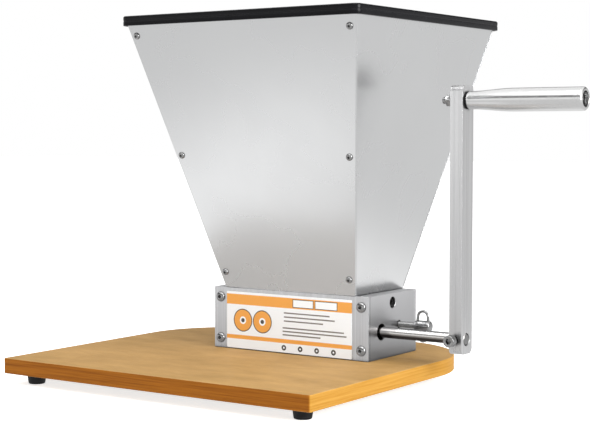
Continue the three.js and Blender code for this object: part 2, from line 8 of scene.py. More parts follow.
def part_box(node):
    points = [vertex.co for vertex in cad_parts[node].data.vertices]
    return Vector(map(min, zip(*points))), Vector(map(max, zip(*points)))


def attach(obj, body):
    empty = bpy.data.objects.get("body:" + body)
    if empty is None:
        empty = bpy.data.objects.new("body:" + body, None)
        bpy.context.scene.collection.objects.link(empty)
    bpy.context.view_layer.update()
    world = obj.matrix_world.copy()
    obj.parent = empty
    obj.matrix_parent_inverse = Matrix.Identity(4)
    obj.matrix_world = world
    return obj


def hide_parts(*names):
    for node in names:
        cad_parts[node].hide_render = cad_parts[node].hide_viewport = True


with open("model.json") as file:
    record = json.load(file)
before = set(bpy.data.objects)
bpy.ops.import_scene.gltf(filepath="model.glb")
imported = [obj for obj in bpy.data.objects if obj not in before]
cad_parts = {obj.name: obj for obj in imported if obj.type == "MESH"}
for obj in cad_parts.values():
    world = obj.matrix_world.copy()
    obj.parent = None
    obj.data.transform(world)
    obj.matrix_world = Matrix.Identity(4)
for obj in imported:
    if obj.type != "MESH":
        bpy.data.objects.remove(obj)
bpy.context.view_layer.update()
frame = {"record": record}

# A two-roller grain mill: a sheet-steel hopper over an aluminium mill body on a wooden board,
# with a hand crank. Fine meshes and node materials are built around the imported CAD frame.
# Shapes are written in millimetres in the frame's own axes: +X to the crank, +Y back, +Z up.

MM = 0.001
TURN = math.tau
QUARTER = math.pi / 2
RIGHT, BACK, UP = Vector((1, 0, 0)), Vector((0, 1, 0)), Vector((0, 0, 1))
LEFT, FRONT, DOWN = -RIGHT, -BACK, -UP
SIDES = (("left", -1, LEFT), ("right", 1, RIGHT))
ENDS = (("front", -1, FRONT), ("back", 1, BACK))

SLOT_OF = {row["node"]: row["material_slot"] for row in frame["record"]["subparts"]}
BODY_OF = {
    node: body
    for body, nodes in frame["record"]["behaviour"]["bodies"].items()
    for node in nodes
}


# Places from the frame ------------------------------------


def span(node):
    """Lowest and highest corner of a CAD node."""
    low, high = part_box(node)
    return low / MM, high / MM


def middle(node):
    low, high = span(node)
    return (low + high) / 2


def size(node):
    low, high = span(node)
    return high - low


def mill_middle():
    """The middle of the mill body, seen from above."""
    front, back = span("cover_plate_front")[0], span("cover_plate_back")[1]
    return Vector(((front.x + back.x) / 2, (front.y + back.y) / 2, 0))


MILL = mill_middle()


# Solids: (points, faces), in millimetres ------------------

OVER = 1  # how far a cutting tool reaches beyond a face


def skin(loops, closed=False):
    """A surface through loops of points. A loop of one point is a pole."""
    points, rows = [], []
    for loop in loops:
        rows.append(range(len(points), len(points) + len(loop)))
        points.extend(loop)
    pairs = list(zip(rows, rows[1:]))
    if closed:
        pairs.append((rows[-1], rows[0]))
    count = max(len(row) for row in rows)
    faces = []
    for low, high in pairs:
        for i in range(count):
            j = (i + 1) % count
            first, last = len(low), len(high)
            corners = (low[i % first], low[j % first], high[j % last], high[i % last])
            faces.append(list(dict.fromkeys(corners)))
    return points, faces


def moved(solid, matrix):
    points, faces = solid
    return [matrix @ Vector(point) for point in points], faces


def along(axis, at):
    """Stands local +Z along an axis, at a point."""
    return Matrix.Translation(at) @ Vector(axis).to_track_quat("Z", "Y").to_matrix().to_4x4()


def revolve(profile, at, axis, segments=64):
    """Turns (radius, distance) rows about an axis. A row may add a form that varies its radius."""
    closed = profile[0][:2] == profile[-1][:2]
    loops = []
    for radius, distance, *form in profile[:-1] if closed else profile:
        if radius == 0:
            loops.append([(0, 0, distance)])
            continue
        loop = []
        for i in range(segments):
            angle = TURN * i / segments
            reach = radius * form[0](angle, distance) if form else radius
            loop.append((reach * math.cos(angle), reach * math.sin(angle), distance))
        loops.append(loop)
    return moved(skin(loops, closed), along(axis, at))


def arc(radius, distance, bend, start, end, steps=5):
    """Profile rows round a corner: a centre, the corner's radius, and its angles in degrees."""
    rows = []
    for i in range(steps + 1):
        angle = math.radians(start + (end - start) * i / steps)
        rows.append((radius + bend * math.cos(angle), distance + bend * math.sin(angle)))
    return rows


def ring(outer, inner, length, at, axis, edge=0.3):
    """A plain ring with rounded edges."""
    profile = [
        *arc(inner + edge, edge, edge, 180, 270),
        *arc(outer - edge, edge, edge, 270, 360),
        *arc(outer - edge, length - edge, edge, 0, 90),
        *arc(inner + edge, length - edge, edge, 90, 180),
    ]
    return revolve([*profile, profile[0]], at, axis)


def rounded_rectangle(x0, y0, x1, y1, radii, steps=8):
    """Counterclockwise, with a radius for each corner from the low left one round."""
    corners = ((x0, y0, 1, 1), (x1, y0, -1, 1), (x1, y1, -1, -1), (x0, y1, 1, -1))
    outline = []
    for k, ((x, y, inward_x, inward_y), radius) in enumerate(zip(corners, radii)):
        for i in range(steps + 1):
            angle = (k + 2 + i / steps) * QUARTER
            outline.append((
                x + inward_x * radius + radius * math.cos(angle),
                y + inward_y * radius + radius * math.sin(angle),
            ))
    return outline


def prism(outline, depth, at=(0, 0, 0), right=RIGHT, up=BACK):
    """A flat outline drawn along right and up, and extruded towards the viewer."""
    count = len(outline)
    points = [(x, y, z) for z in (0, depth) for x, y in outline]
    faces = [[i, (i + 1) % count, (i + 1) % count + count, i + count] for i in range(count)]
    faces += [list(range(count))[::-1], list(range(count, 2 * count))]
    turn = Matrix((right, up, right.cross(up))).transposed().to_4x4()
    return moved((points, faces), Matrix.Translation(at) @ turn)


def rod(radius, length, at, axis, segments=64):
    return revolve([(0, 0), (radius, 0), (radius, length), (0, length)], at, axis, segments)


def cutter(at, axis, *rows):
    """A tool for a stepped hole: rows of (radius, distance) from a point along an axis."""
    return revolve([(0, rows[0][1]), *rows, (0, rows[-1][1])], at, axis)


def chamfer(radius, width, face):
    """Rows that widen a hole where it comes out of a face."""
    return (radius, face - width), (radius + width + OVER, face + OVER)


def block(low, high):
    outline = [(low.x, low.y), (high.x, low.y), (high.x, high.y), (low.x, high.y)]
    return prism(outline, high.z - low.z, (0, 0, low.z))


def mesh_of(name, solid):
    points, faces = solid
    mesh = bpy.data.meshes.new(name)
    mesh.from_pydata([Vector(point) * MM for point in points], [], faces)
    return mesh


def combine(operation, first, *others):
    """The DIFFERENCE or UNION of solids."""
    objects = []
    for solid in (first, *others):
        obj = bpy.data.objects.new("tool", mesh_of("tool", solid))
        bpy.context.scene.collection.objects.link(obj)
        objects.append(obj)
    for tool in objects[1:]:
        modifier = objects[0].modifiers.new("combine", "BOOLEAN")
        modifier.operation = operation
        modifier.solver = "EXACT"
        modifier.object = tool
    depsgraph = bpy.context.evaluated_depsgraph_get()
    mesh = objects[0].evaluated_get(depsgraph).to_mesh()
    points = [vertex.co / MM for vertex in mesh.vertices]
    faces = [list(polygon.vertices) for polygon in mesh.polygons]
    for obj in objects:
        bpy.data.meshes.remove(obj.data)
    return points, faces


def hexagon(angle, _distance):
    """Turns a circle through a hexagon's corners into that hexagon."""
    step = TURN / 6
    return math.cos(step / 2) / math.cos(angle % step - step / 2)


# Materials ------------------------------------------------


class Look:
    """A node material: a Principled shader and the nodes that drive it."""

    def __init__(self, name):
        self.material = bpy.data.materials.new(name)
        self.material.use_nodes = True
        self.tree = self.material.node_tree
        self.shader = self.tree.nodes["Principled BSDF"]
        place = self.add("TexCoord")
        self.place = place.outputs["Object"]
        self.facing = place.outputs["Normal"]

    def add(self, kind, inputs=None, **settings):
        node = self.tree.nodes.new("ShaderNode" + kind)
        for key, value in settings.items():
            setattr(node, key, value)
        for key, value in (inputs or {}).items():
            self.feed(node.inputs[key], value)
        return node

    def feed(self, socket, value):
        if isinstance(value, bpy.types.NodeSocket):
            self.tree.links.new(value, socket)
        elif hasattr(value, "__len__") and len(value) == 3 and socket.type == "RGBA":
            socket.default_value = (*value, 1)
        else:
            socket.default_value = value

    def finish(self, **inputs):
        """Sets the shader's inputs. Underscores in a name stand for spaces."""
        for key, value in inputs.items():
            self.feed(self.shader.inputs[key.replace("_", " ")], value)
        return self.material

    def math(self, operation, first, second=0.0):
        return self.add("Math", {0: first, 1: second}, operation=operation).outputs[0]

    def part(self, vector, axis):
        return self.add("SeparateXYZ", {0: vector}).outputs[axis]

    def noise(self, grain, detail=3.0, roughness=0.5, seed=0.0):
        """Noise with grains of this many millimetres: one number, or one for each axis."""
        lengths = grain if hasattr(grain, "__len__") else (grain, grain, grain)
        scale = Vector(1 / (MM * length) for length in lengths)
        inputs = {0: self.place, 1: scale, 2: (seed, seed, seed)}
        vector = self.add("VectorMath", inputs, operation="MULTIPLY_ADD").outputs[0]
        inputs = {"Vector": vector, "Scale": 1.0, "Detail": detail, "Roughness": roughness}
        return self.add("TexNoise", inputs).outputs[0]

    def range(self, value, low, high, to_low=0.0, to_high=1.0, smooth=False):
        kind = "SMOOTHSTEP" if smooth else "LINEAR"
        inputs = {0: value, 1: low, 2: high, 3: to_low, 4: to_high}
        return self.add("MapRange", inputs, interpolation_type=kind).outputs[0]

    def spread(self, noise, low=0.0, high=1.0):
        """Stretches the usual span of a noise, 0.3 to 0.7, over low to high."""
        return self.range(noise, 0.3, 0.7, low, high)

    def mix(self, factor, first, second):
        inputs = {0: factor, 6: first, 7: second}
        return self.add("Mix", inputs, data_type="RGBA").outputs[2]

    def bump(self, height, depth, strength=1.0):
        """A bump map: depth is in millimetres."""
        inputs = {"Height": height, "Distance": depth * MM, "Strength": strength}
        return self.add("Bump", inputs).outputs[0]

    def edges(self, width, threshold=0.25):
        """1 along edges and corners, 0 on flat faces. Width is in millimetres."""
        rounded = self.add("Bevel", {"Radius": width * MM}, samples=4).outputs[0]
        flat = self.add("NewGeometry").outputs["Normal"]
        dot = self.add("VectorMath", {0: rounded, 1: flat}, operation="DOT_PRODUCT")
        bend = self.math("SUBTRACT", 1.0, dot.outputs["Value"])
        return self.range(bend, 0.01, threshold, smooth=True)

    def crevice_shade(self, width):
        """Where painted shade goes: 1 deep in holes and corners, 0 on open faces. Width is in
        millimetres.
        """
        inputs = {"Distance": width * MM}
        open_share = self.add("AmbientOcclusion", inputs, samples=6).outputs["AO"]
        return self.range(open_share, 0.80, 0.30, smooth=True)


def scaled(colour, factor):
    return tuple(channel * factor for channel in colour)


# A dark tone for random dirt smudges, and for painted shade in holes and corners.
GRIME_AND_SHADE = (0.012, 0.012, 0.013)


def brushed_metal(
        name, colour, grain, roughness, contrast, edge=0, depth=0, crevice=0, painted_shade=None):
    """Metal brushed along an axis. grain is the length of its lines in each axis.

    edge is the width of its worn edges, depth that of its lines, and crevice the width of painted
    shade in its corners and holes, all in mm. The last argument gives the share of a darker painted
    shade.
    """
    look = Look(name)
    fine = look.noise(grain, 2.0)
    streak = look.noise([5 * length for length in grain], 3.0, seed=7.0)
    smudge = look.noise(70, 2.0, seed=3.0)
    light, dark = scaled(colour, 1 + contrast), scaled(colour, 1 - contrast)
    tone = look.mix(look.spread(streak), dark, light)
    tone = look.mix(look.range(smudge, 0.25, 0.75, 0, 0.03), tone, GRIME_AND_SHADE)
    rough = look.math("ADD", look.spread(fine, -contrast / 2, contrast / 2), roughness)
    rough = look.math("ADD", rough, look.spread(smudge, -0.02, 0.02))
    if edge:
        worn = look.edges(edge)
        tone = look.mix(look.math("MULTIPLY", worn, 0.6), tone, scaled(colour, 1.3))
        rough = look.math("SUBTRACT", rough, look.math("MULTIPLY", worn, 0.08))
    # painted shade: a darker tone where the given mask says less light falls
    if painted_shade:
        tone = look.mix(painted_shade(look), tone, scaled(colour, 0.42))
    # painted shade in corners and holes
    if crevice:
        tone = look.mix(look.crevice_shade(crevice), tone, GRIME_AND_SHADE)
    if depth:
        look.finish(Normal=look.bump(fine, depth, 0.4))
    return look.finish(Base_Color=tone, Metallic=1.0, Roughness=rough)


def shaded_sides(look):
    """Painted shade: the mill body's ends are darker than its front, and most of all near the
    board.
    """
    sideways = look.math("ABSOLUTE", look.part(look.facing, 0))
    low, high = (span("side_plate_right")[k].z * MM for k in (0, 1))
    share = look.range(look.part(look.place, 2), low, high, 0.95, 0.08)
    return look.math("MULTIPLY", look.range(sideways, 0.6, 0.9), share)


def shaded_foot(look):
    """Painted shade: the crank arm is darker towards its lower end."""
    low, high = (span("crank_arm")[k].z * MM for k in (0, 1))
    return look.range(look.part(look.place, 2), low, high, 0.34, 0)


def turned_metal(name, colour, roughness, line=0.25, contrast=0.05, crevice=3.0, depth=0.006):
    """Bright metal turned or drawn, with faint rings and a few handling marks."""
    look = Look(name)
    lines = look.noise((line, 40, 40), 2.0)
    marks = look.noise(6, 4.0, 0.7, seed=5.0)
    tone = look.mix(look.spread(lines), scaled(colour, 1 - contrast), colour)
    # painted shade in holes and corners
    tone = look.mix(look.crevice_shade(crevice), tone, GRIME_AND_SHADE)
    rough = look.math("ADD", look.range(marks, 0.45, 0.75, 0, 0.10), roughness)
    rough = look.math("ADD", rough, look.spread(lines, -0.02, 0.02))
    return look.finish(
        Base_Color=tone, Metallic=1.0, Roughness=rough, Normal=look.bump(lines, depth, 0.4))


def roller_look():
    """Hardened steel: ground bright on the shaft, dark and oily on the knurled drum."""
    look = Look("roller_steel")
    half = size("drive_roller").y / 2
    idler = span("idler_roller")
    journal = 10  # the length of the idler's journal at each end of its drum
    drum = (idler[0].x + journal, idler[1].x - journal)
    x = look.math("DIVIDE", look.part(look.place, 0), MM)
    on_drum = look.math(
        "MULTIPLY", look.math("GREATER_THAN", x, drum[0]), look.math("LESS_THAN", x, drum[1]))
    lines = look.noise((0.3, half, half), 2.0)
    stain = look.noise(9, 4.0, 0.6, seed=2.0)
    shaft = look.mix(look.spread(lines), (0.70, 0.68, 0.66), (0.82, 0.80, 0.78))
    level = look.part(look.facing, 2)
    # painted shade: the shaft is darker along its top
    shaft = look.mix(look.range(level, 0.60, 0.95, 0, 0.75), shaft, (0.22, 0.22, 0.23))
    underside_shade = look.range(level, 0.30, -0.45, smooth=True)
    shaft = look.mix(underside_shade, shaft, (0.05, 0.043, 0.04))  # painted shade along the underside
    # painted shade: the shaft's end faces are darker
    shaded_end = look.range(look.math("ABSOLUTE", look.part(look.facing, 0)), 0.6, 0.9)
    shaft = look.mix(shaded_end, shaft, (0.22, 0.22, 0.22))
    dark = look.mix(look.range(stain, 0.35, 0.65), (0.20, 0.19, 0.18), (0.34, 0.32, 0.30))
    rough_drum = look.spread(stain, 0.28, 0.45)
    rough_shaft = look.spread(lines, 0.16, 0.24)
    rough = look.math("ADD", look.math("MULTIPLY", on_drum, rough_drum),
                      look.math("MULTIPLY", look.math("SUBTRACT", 1.0, on_drum), rough_shaft))
    return look.finish(Base_Color=look.mix(on_drum, shaft, dark), Metallic=1.0,
                       Roughness=rough, Normal=look.bump(lines, 0.008, 0.4))


def board_look():
    """Varnished fibreboard: pale satin top, deeper orange edges with long streaks."""
    look = Look("board")
    mottle = look.noise((60, 25, 25), 5.0, 0.6)
    fibre = look.noise((9, 0.5, 0.5), 3.0, 0.6, seed=4.0)
    streak = look.noise((70, 70, 1.3), 3.0, 0.6, seed=9.0)
    top = look.mix(look.spread(mottle), (0.34, 0.20, 0.065), (0.49, 0.295, 0.11))
    top = look.mix(look.range(fibre, 0.35, 0.75, 0, 0.35), top, (0.35, 0.185, 0.05))
    dark_side = look.mix(look.spread(streak), (0.20, 0.058, 0.002), (0.34, 0.115, 0.008))
    # The ends, facing along x, are paler: partly their end grain, partly painted light.
    lit_end_grain = look.mix(look.spread(streak), (0.38, 0.175, 0.018), (0.49, 0.26, 0.047))
    to_side = look.math("ABSOLUTE", look.part(look.facing, 0))
    side = look.mix(look.range(to_side, 0.3, 0.9, smooth=True), dark_side, lit_end_grain)
    level = look.math("ABSOLUTE", look.part(look.facing, 2))
    flat = look.range(level, 0.5, 0.9, smooth=True)
    tone = look.mix(flat, side, top)
    worn = look.math("MULTIPLY", look.edges(1.2), look.range(mottle, 0.35, 0.65, 0.1, 0.6))
    tone = look.mix(worn, tone, (0.78, 0.52, 0.22))
    painted_reflection = look.math("MULTIPLY", look.add("LightPath").outputs["Is Glossy Ray"], 0.95)
    tone = look.mix(painted_reflection, tone, (0.47, 0.46, 0.45))  # painted reflection: the board is painted grey where steel reflects it
    rough = look.spread(fibre, 0.46, 0.60)
    height = look.math("ADD", fibre, look.math("MULTIPLY", mottle, 0.5))
    return look.finish(
        Base_Color=tone, Roughness=rough, Specular_IOR_Level=0.12,
        Normal=look.bump(height, 0.05, 0.35))


def plastic_look(name, colour, worn_colour, roughness, shine, pebble, depth):
    """Moulded plastic or rubber: a fine pebbled skin, paler where its edges are rubbed."""
    look = Look(name)
    skin_grain = look.noise(pebble, 3.0, 0.6)
    haze = look.noise(25, 3.0, seed=6.0)
    tone = look.mix(look.spread(haze), scaled(colour, 0.8), scaled(colour, 1.25))
    rub = look.math("MULTIPLY", look.edges(0.8), look.range(haze, 0.35, 0.7, 0.15, 0.7))
    tone = look.mix(rub, tone, worn_colour)
    rough = look.math("ADD", look.spread(haze, -0.04, 0.06), roughness)
    return look.finish(
        Base_Color=tone, Roughness=rough, Specular_IOR_Level=shine,
        Normal=look.bump(skin_grain, depth, 0.6))


def black_oxide_look():
    look = Look("black_steel")
    patch = look.noise(3, 4.0, 0.6)
    tone = look.mix(look.range(patch, 0.35, 0.7), (0.012, 0.012, 0.014), (0.035, 0.034, 0.036))
    tone = look.mix(look.math("MULTIPLY", look.edges(0.4), 0.5), tone, (0.16, 0.15, 0.14))
    rough = look.spread(patch, 0.32, 0.5)
    return look.finish(Base_Color=tone, Metallic=0.85, Roughness=rough,
                       Normal=look.bump(patch, 0.02, 0.4))


LABEL_WIDTH, LABEL_HEIGHT = size("label_plate").x, size("label_plate").z
ORANGE, PAPER, INK = (0.84, 0.38, 0.075), (0.90, 0.95, 1.0), (0.07, 0.068, 0.065)
GREY_INK = (0.2, 0.19, 0.18)
ORANGE_BARS = (
    # left, bottom, right, top, as shares of the label
    (0, 0.775, 1, 0.955),
    (0, 0.165, 1, 0.235),
)
WHITE_BARS = ((0.545, 0.805, 0.70, 0.925), (0.72, 0.805, 0.885, 0.925))
BORDER = (0.005, 0.012)
RULES = (
    # left, right, height, as shares of the label
    (0.47, 0.83, 0.69), (0.47, 0.87, 0.62), (0.47, 0.78, 0.55),
    (0.46, 0.94, 0.43), (0.46, 0.96, 0.37), (0.46, 0.76, 0.31),
)
RULE_HALF = 0.012
CIRCLES = (
    # shares along the label, share up it, and discs of (radius in mm, colour), largest first
    ((0.135, 0.295), 0.50, ((10.8, INK), (9.9, ORANGE), (3.6, PAPER), (2.0, INK))),
    ((0.47, 0.60, 0.73, 0.86), 0.085, ((2.6, INK), (0.9, PAPER))),
)


def label_look():
    """A printed plate with plain bars, rules and circles, and no words."""
    look = Look("label")
    corner = span("label_plate")[0] * MM
    width, height = LABEL_WIDTH * MM, LABEL_HEIGHT * MM
    across = look.range(look.part(look.place, 0), corner.x, corner.x + width)
    upward = look.range(look.part(look.place, 2), corner.z, corner.z + height)

    def between(value, low, high):
        above = look.math("GREATER_THAN", value, low)
        return look.math("MULTIPLY", above, look.math("LESS_THAN", value, high))

    def bar(left, bottom, right, top):
        return look.math("MULTIPLY", between(across, left, right), between(upward, bottom, top))

    def distance(share_x, share_z):
        x = look.math("MULTIPLY", look.math("SUBTRACT", across, share_x), LABEL_WIDTH)
        z = look.math("MULTIPLY", look.math("SUBTRACT", upward, share_z), LABEL_HEIGHT)
        return look.math("SQRT", look.math(
            "ADD", look.math("MULTIPLY", x, x), look.math("MULTIPLY", z, z)))

    ink_grain = look.noise(0.5, 2.0)
    tone = look.mix(look.spread(ink_grain), PAPER, scaled(PAPER, 0.95))
    for bounds in ORANGE_BARS:
        tone = look.mix(bar(*bounds), tone, ORANGE)
    x, z = BORDER
    for left, bottom, right, top in WHITE_BARS:
        tone = look.mix(bar(left - x, bottom - z, right + x, top + z), tone, INK)
        tone = look.mix(bar(left, bottom, right, top), tone, PAPER)
    for left, right, at in RULES:
        tone = look.mix(bar(left, at - RULE_HALF, right, at + RULE_HALF), tone, GREY_INK)
    for places, height_share, discs in CIRCLES:
        for share in places:
            away = distance(share, height_share)
            for radius, colour in discs:
                tone = look.mix(look.math("LESS_THAN", away, radius), tone, colour)
    scuff = look.noise(15, 4.0, 0.6, seed=8.0)
    rough = look.spread(scuff, 0.30, 0.45)
    return look.finish(Base_Color=tone, Roughness=rough, Specular_IOR_Level=0.4,
                       Normal=look.bump(ink_grain, 0.01, 0.3))


LOOKS = {
    "board": board_look(),
    "rubber": plastic_look(
        "rubber", (0.007, 0.007, 0.008), (0.03, 0.03, 0.03),
        roughness=0.60, shine=0.25, pebble=0.8, depth=0.03),
    "trim": plastic_look(
        "trim", (0.003, 0.003, 0.004), (0.035, 0.035, 0.04),
        roughness=0.20, shine=0.14, pebble=1.6, depth=0.004),
    "body_aluminium": brushed_metal(
        "body_aluminium", (0.62, 0.62, 0.63), grain=(0.3, 30, 30), roughness=0.34,
        contrast=0.08, edge=0.8, depth=0.008, crevice=5, painted_shade=shaded_sides),
    "arm_aluminium": brushed_metal(
        "arm_aluminium", (0.70, 0.70, 0.705), grain=(0.5, 0.5, 60), roughness=0.30,
        contrast=0.09, edge=0.9, depth=0.008, crevice=4, painted_shade=shaded_foot),
    "hopper_steel": brushed_metal(
        "hopper_steel", (0.72, 0.725, 0.73), grain=(1.5, 1.5, 200), roughness=0.27,
        contrast=0.002),
    "grip_steel": turned_metal(
        "grip_steel", (0.70, 0.70, 0.70), roughness=0.20, depth=0.0015),
    "screw_steel": turned_metal(
        "screw_steel", (0.34, 0.34, 0.34), roughness=0.18, line=0.3, contrast=0.08),
    "roller_steel": roller_look(),
    "black_steel": black_oxide_look(),
    "bronze": turned_metal("bronze", (0.56, 0.36, 0.15), roughness=0.30),
    "label": label_look(),
}


# Pieces ---------------------------------------------------

SMOOTH_ANGLE = math.radians(34)
ROUNDED_ANGLE = math.radians(50)  # only edges sharper than a chamfer's are rounded


def round_edges(obj, width):
    """Rounds an object's sharp edges by a width in millimetres."""
    rounding = obj.modifiers.new("rounding", "BEVEL")
    rounding.width = width * MM
    rounding.segments = 3
    rounding.limit_method = "ANGLE"
    rounding.angle_limit = ROUNDED_ANGLE
    rounding.miter_outer = "MITER_ARC"
    obj.modifiers.new("flat_faces", "WEIGHTED_NORMAL").keep_sharp = False


def piece(node, solid, edge=0.0):
    """A fine mesh that stands for a CAD node and rides on its body."""
    name = node + "_fine"
    obj = bpy.data.objects.new(name, mesh_of(name, solid))
    bpy.context.scene.collection.objects.link(obj)
    obj.data.shade_smooth()
    obj.data.set_sharp_from_angle(angle=SMOOTH_ANGLE)
    if edge:
        round_edges(obj, edge)
    obj.data.materials.append(LOOKS[SLOT_OF[node]])
    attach(obj, BODY_OF[node])
    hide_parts(node)


def socket_rows(across_flats, mouth, depth):
    """Profile rows down into a hexagon socket, from its rim at the mouth's distance."""
    corner = across_flats / math.sqrt(3)
    return [
        (corner * 1.06, mouth),
        (corner, mouth - corner * 0.08, hexagon),
        (corner, mouth - depth, hexagon),
        (corner * 0.2, mouth - depth - corner * 0.45),
        (0, mouth - depth - corner * 0.5),
    ]


def shank_rows(radius, length, tip=0.5):
    return [(0, -length), (radius - tip, -length), (radius, tip - length), (radius, 0)]


def button_screw(node, at, out, head, height, socket, shank, length):
    """A screw with a domed head. Its head's underside is at the point, and faces away from out."""
    rim = height * 0.18
    mouth_radius = socket / math.sqrt(3) * 1.06
    dome = []
    steps = 9
    for i in range(steps + 1):
        radius = head - (head - mouth_radius * 1.1) * i / steps
        dome.append((radius, rim + (height - rim) * math.sqrt(1 - (radius / head) ** 2)))
    socket_top = dome[-1][1] - 0.1
    profile = [
        *shank_rows(shank, length),
        (head - 0.25, 0),
        (head, 0.2),
        *dome,
        *socket_rows(socket, socket_top, height * 0.5),
    ]
    piece(node, revolve(profile, at, out, 48))


def cap_screw(node, at, out, head, height, socket, shank, length):
    """A cylinder-head screw with a grooved side."""
    grooves = 32

    def grooved(angle, _distance):
        return 1 - 0.035 * (0.5 + 0.5 * math.cos(angle * grooves))

    edge = 0.6
    profile = [
        *shank_rows(shank, length),
        *arc(head - edge, edge, edge, 270, 350),
        (head, edge * 1.6, grooved),
        (head, height - edge * 1.8, grooved),
        *arc(head - edge, height - edge, edge, 10, 90),
        *socket_rows(socket, height, height * 0.55),
    ]
    piece(node, revolve(profile, at, out, 192))


# Board and feet -------------------------------------------

BOARD_CORNERS = {"front": 2, "back": 90}
OUTLET = {"half_length": 60, "half_width": 27, "corner": 8}
BOARD_EDGE = 0.6


def build_board():
    low, high = span("base_board")
    front, back = BOARD_CORNERS["front"], BOARD_CORNERS["back"]
    radii = (front, front, back, back)
    outline = rounded_rectangle(low.x, low.y, high.x, high.y, radii, steps=24)
    board = prism(outline, high.z - low.z, (0, 0, low.z))
    length, width, corner = OUTLET.values()
    slot = rounded_rectangle(MILL.x - length, MILL.y - width, MILL.x + length, MILL.y + width,
                             [corner] * 4)
    outlet = prism(slot, high.z - low.z + 2 * OVER, (0, 0, low.z - OVER))
    piece("base_board", combine("DIFFERENCE", board, outlet), BOARD_EDGE)


FOOT = {"taper": 1.2, "edge": 1.2, "well": 4.5, "well_depth": 5.9, "screw_seat": 5.7}
FOOT_SCREW = {"head": 3.8, "height": 2.4, "socket": 2.5, "shank": 1.8}
BASE_BOLT = {"head": 5.4, "height": 3.3, "socket": 4, "shank": 3}


def build_foot(corner):
    node, screw = "foot_" + corner, "foot_screw_" + corner
    low, high = span(node)
    at = middle(node)
    at.z = low.z
    height = high.z - low.z
    top = size(node).x / 2
    taper, edge, well, well_depth, screw_seat = FOOT.values()
    bottom = top - taper
    hole = FOOT_SCREW["shank"] + 0.35
    profile = [
        (well, 0.4),
        (well + 0.4, 0),
        *arc(bottom - edge, edge, edge, 270, 350),
        (top, height - 0.6),
        (top - 0.3, height),
        (hole, height),
        (hole, well_depth),
        (well, well_depth),
        (well, 0.4),
    ]
    piece(node, revolve(profile, at, UP))
    seat = at + UP * screw_seat
    button_screw(screw, seat, DOWN, length=span(screw)[1].z - seat.z, **FOOT_SCREW)


def build_base_bolt(corner):
    node = "base_bolt_" + corner
    seat = middle(node)
    seat.z = span("base_board")[0].z
    button_screw(node, seat, DOWN, length=span(node)[1].z - seat.z, **BASE_BOLT)


# Mill body ------------------------------------------------

COVER_SCREW = {"head": 4.75, "height": 2.75, "socket": 3, "shank": 2.4, "length": 11}
SHAFT_HOLE, LOCK_HOLE, BOLT_HOLE = 7.3, 5.0, 3.35
HOLE_SPACE = 0.25
HOLE_CHAMFER = 0.6
PLATE_EDGE = 0.45


def build_side_plate(side, sign, out):
    node = "side_plate_" + side
    low, high = span(node)
    inner = low.x if sign > 0 else high.x
    thick = high.x - low.x
    bush, adjuster = "shaft_bush_" + side, "gap_adjuster_" + side
    pocket_depth = abs(middle(adjuster).x - inner) + size(adjuster).x / 2 + 0.3

    def cut(like, *rows):
        """A hole on the axis of another part, from inside the plate's inner face."""
        at = middle(like)
        at.x = inner
        return cutter(at, out, (rows[0][0], -OVER), *rows)

    seat, pocket = size(bush).y / 2 + HOLE_SPACE, size(adjuster).y / 2 + HOLE_SPACE
    seat_depth = size(bush).x + 1
    shaft_hole, bolt_hole, lock_hole = (
        chamfer(radius, HOLE_CHAMFER, thick) for radius in (SHAFT_HOLE, BOLT_HOLE, LOCK_HOLE))
    holes = [
        cut(adjuster, (pocket, pocket_depth)),
        cut(bush, (seat, seat_depth), (SHAFT_HOLE, seat_depth), *shaft_hole),
        cut("wing_bolt_" + side, (BOLT_HOLE, 0), *bolt_hole),
        cut("hopper_lock_screw_" + side, (LOCK_HOLE, 0), *lock_hole),
    ]
    piece(node, combine("DIFFERENCE", block(low, high), *holes), PLATE_EDGE)


def build_cover_plate(end, sign, out):
    node = "cover_plate_" + end
    low, high = span(node)
    piece(node, block(low, high), PLATE_EDGE)
    for side, *_ in SIDES:
        for level in ("lower", "upper"):
            screw = f"cover_screw_{end}_{level}_{side}"
            seat = middle(screw)
            seat.y = low.y if sign < 0 else high.y
            button_screw(screw, seat, out, **COVER_SCREW)


def build_label():
    low, high = span("label_plate")
    outline = rounded_rectangle(low.x, low.z, high.x, high.z, [1.2] * 4)
    piece("label_plate", prism(outline, high.y - low.y, (0, high.y, 0), RIGHT, UP), 0.12)


# Rollers and bushes ---------------------------------------

SHAFT, IDLER_JOURNAL, BUSH_BORE = 5.0, 4.0, 5.3
KNURL = {"starts": 34, "depth": 0.55, "width": 0.34}
DRUM_HALF = 63.5
DRUM_STEPS = 168
DRUM_SEGMENTS = 238


def knurl(radius):
    """A diamond knurl: two crossing sets of helical grooves."""
    pitch = TURN * radius / KNURL["starts"]

    def groove(phase):
        from_middle = abs(phase % 1 - 0.5)
        return max(0.0, 1 - from_middle / KNURL["width"])

    def form(angle, distance):
        turn = angle / TURN * KNURL["starts"]
        cut = max(groove(turn + distance / pitch), groove(turn - distance / pitch))
        return 1 - KNURL["depth"] * cut / radius

    return form


